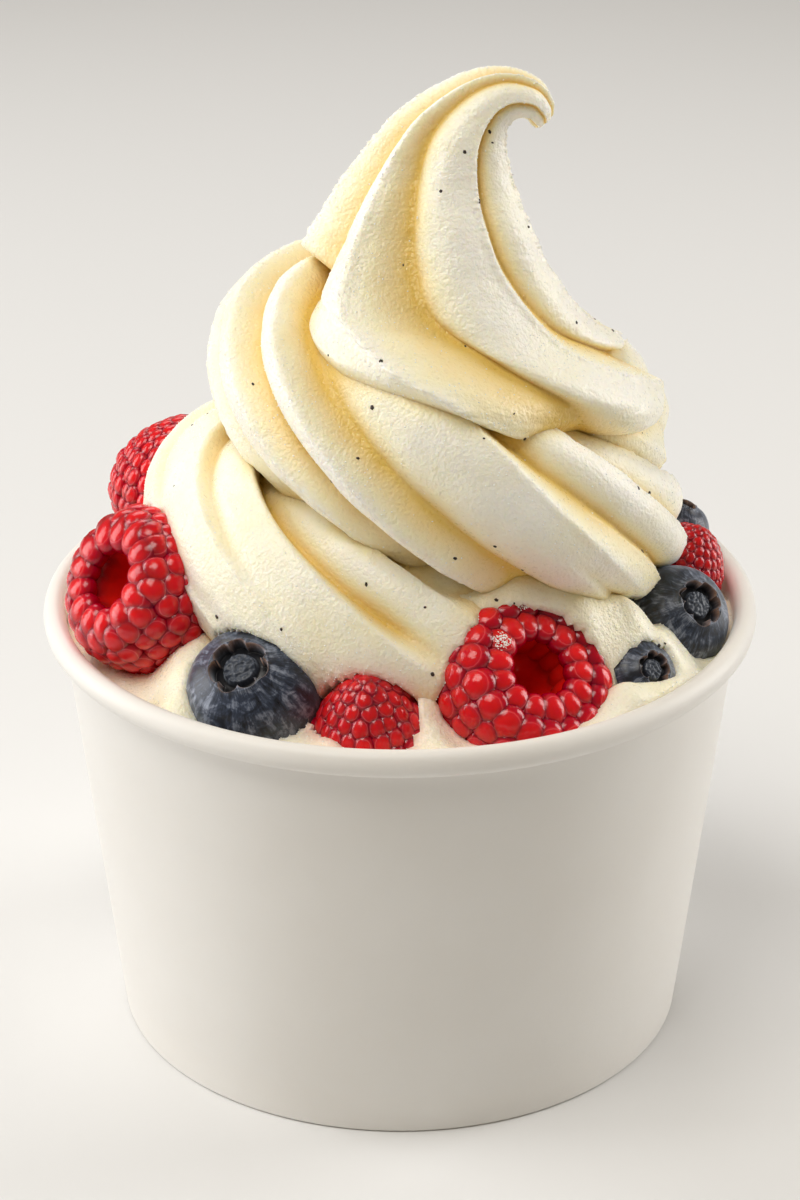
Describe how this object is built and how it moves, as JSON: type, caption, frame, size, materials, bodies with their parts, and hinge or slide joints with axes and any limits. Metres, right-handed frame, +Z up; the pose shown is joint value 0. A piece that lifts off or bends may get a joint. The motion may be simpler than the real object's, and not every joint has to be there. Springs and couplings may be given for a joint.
{
  "type": "frozen yogurt cup",
  "caption": "Frozen yogurt piped in a tall ribbed swirl with a curled tip, in a round white paper cup with a rolled rim, ringed with raspberries and blueberries.",
  "frame": {"origin": "centre of the cup's foot, on the surface the cup stands on", "axes": "+Z up along the cup's axis; -Y faces the viewer of the front; +X to that viewer's right, the way the swirl's tip curls"},
  "size_m": [0.0958, 0.0958, 0.1336],
  "materials": {
    "cup_paper": "matt white coated board, satin rolled rim",
    "vanilla_yogurt": null,
    "raspberry": null,
    "blueberry": null
  },
  "bodies": {
    "root": {"cup_wall": "cup_paper", "cup_base": "cup_paper", "yogurt": "vanilla_yogurt", "raspberry_1": "raspberry", "raspberry_2": "raspberry", "raspberry_3": "raspberry", "raspberry_4": "raspberry", "raspberry_5": "raspberry", "raspberry_6": "raspberry", "raspberry_7": "raspberry", "blueberry_1": "blueberry", "blueberry_2": "blueberry", "blueberry_3": "blueberry", "blueberry_4": "blueberry", "blueberry_5": "blueberry"}
  },
  "joints": []
}
